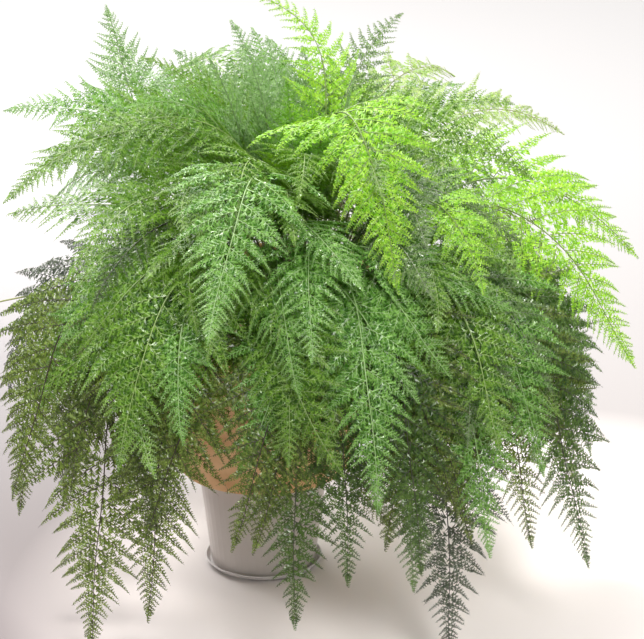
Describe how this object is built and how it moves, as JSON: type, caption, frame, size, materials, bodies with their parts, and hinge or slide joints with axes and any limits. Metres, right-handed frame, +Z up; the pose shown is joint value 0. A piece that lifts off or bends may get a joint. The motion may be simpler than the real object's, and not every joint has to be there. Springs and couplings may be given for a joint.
{
  "type": "potted rabbit's foot fern",
  "caption": "Lacy rabbit's foot fern whose long fronds arch over a wide tan bowl, which stands on a small white pot and a saucer.",
  "frame": {"origin": "centre of the saucer's flat underside, on the axis of the saucer, the pot and the bowl", "axes": "+Z is up; -Y is towards the viewer of the picture's side; +X is to that viewer's right, the side that the plant's crown is set towards"},
  "size_m": [0.6635, 0.6941, 0.5721],
  "materials": {
    "pale_saucer": "gloss",
    "white_glaze": "satin",
    "terracotta": "matte",
    "soil": "matte",
    "rhizome_fur": "matte",
    "young_stalk": "satin",
    "frond_lime": "matte",
    "frond_mint": "matte",
    "frond_leaf": "matte",
    "frond_deep": "matte",
    "frond_olive": "matte",
    "frond_sage": "matte"
  },
  "bodies": {
    "root": {"saucer": "pale_saucer", "white_pot": "white_glaze", "bowl": "terracotta", "soil": "soil", "rhizome_mat": "rhizome_fur", "rhizome_1": "rhizome_fur", "rhizome_2": "rhizome_fur", "rhizome_3": "rhizome_fur", "rhizome_4": "rhizome_fur", "bare_stipe": "young_stalk", "frond_01": "frond_lime", "frond_02": "frond_sage", "frond_03": "frond_mint", "frond_04": "frond_lime", "frond_05": "frond_leaf", "frond_06": "frond_mint", "frond_07": "frond_mint", "frond_08": "frond_leaf", "frond_09": "frond_mint", "frond_10": "frond_lime", "frond_11": "frond_leaf", "frond_12": "frond_lime", "frond_13": "frond_mint", "frond_14": "frond_leaf", "frond_15": "frond_mint", "frond_16": "frond_leaf", "frond_17": "frond_deep", "frond_18": "frond_lime", "frond_19": "frond_mint", "frond_20": "frond_leaf", "frond_21": "frond_mint", "frond_22": "frond_leaf", "frond_23": "frond_leaf", "frond_24": "frond_mint", "frond_25": "frond_lime", "frond_26": "frond_lime", "frond_27": "frond_leaf", "frond_28": "frond_mint", "frond_29": "frond_sage", "frond_30": "frond_leaf", "frond_31": "frond_mint", "frond_32": "frond_olive", "frond_33": "frond_leaf", "frond_34": "frond_olive", "frond_35": "frond_leaf", "frond_36": "frond_olive", "frond_37": "frond_olive", "frond_38": "frond_mint", "frond_39": "frond_olive", "frond_40": "frond_sage", "frond_41": "frond_leaf", "frond_42": "frond_olive", "frond_43": "frond_sage", "frond_44": "frond_olive", "frond_45": "frond_olive", "frond_46": "frond_leaf", "frond_47": "frond_deep", "frond_48": "frond_sage", "frond_49": "frond_sage", "frond_50": "frond_sage"}
  },
  "joints": []
}
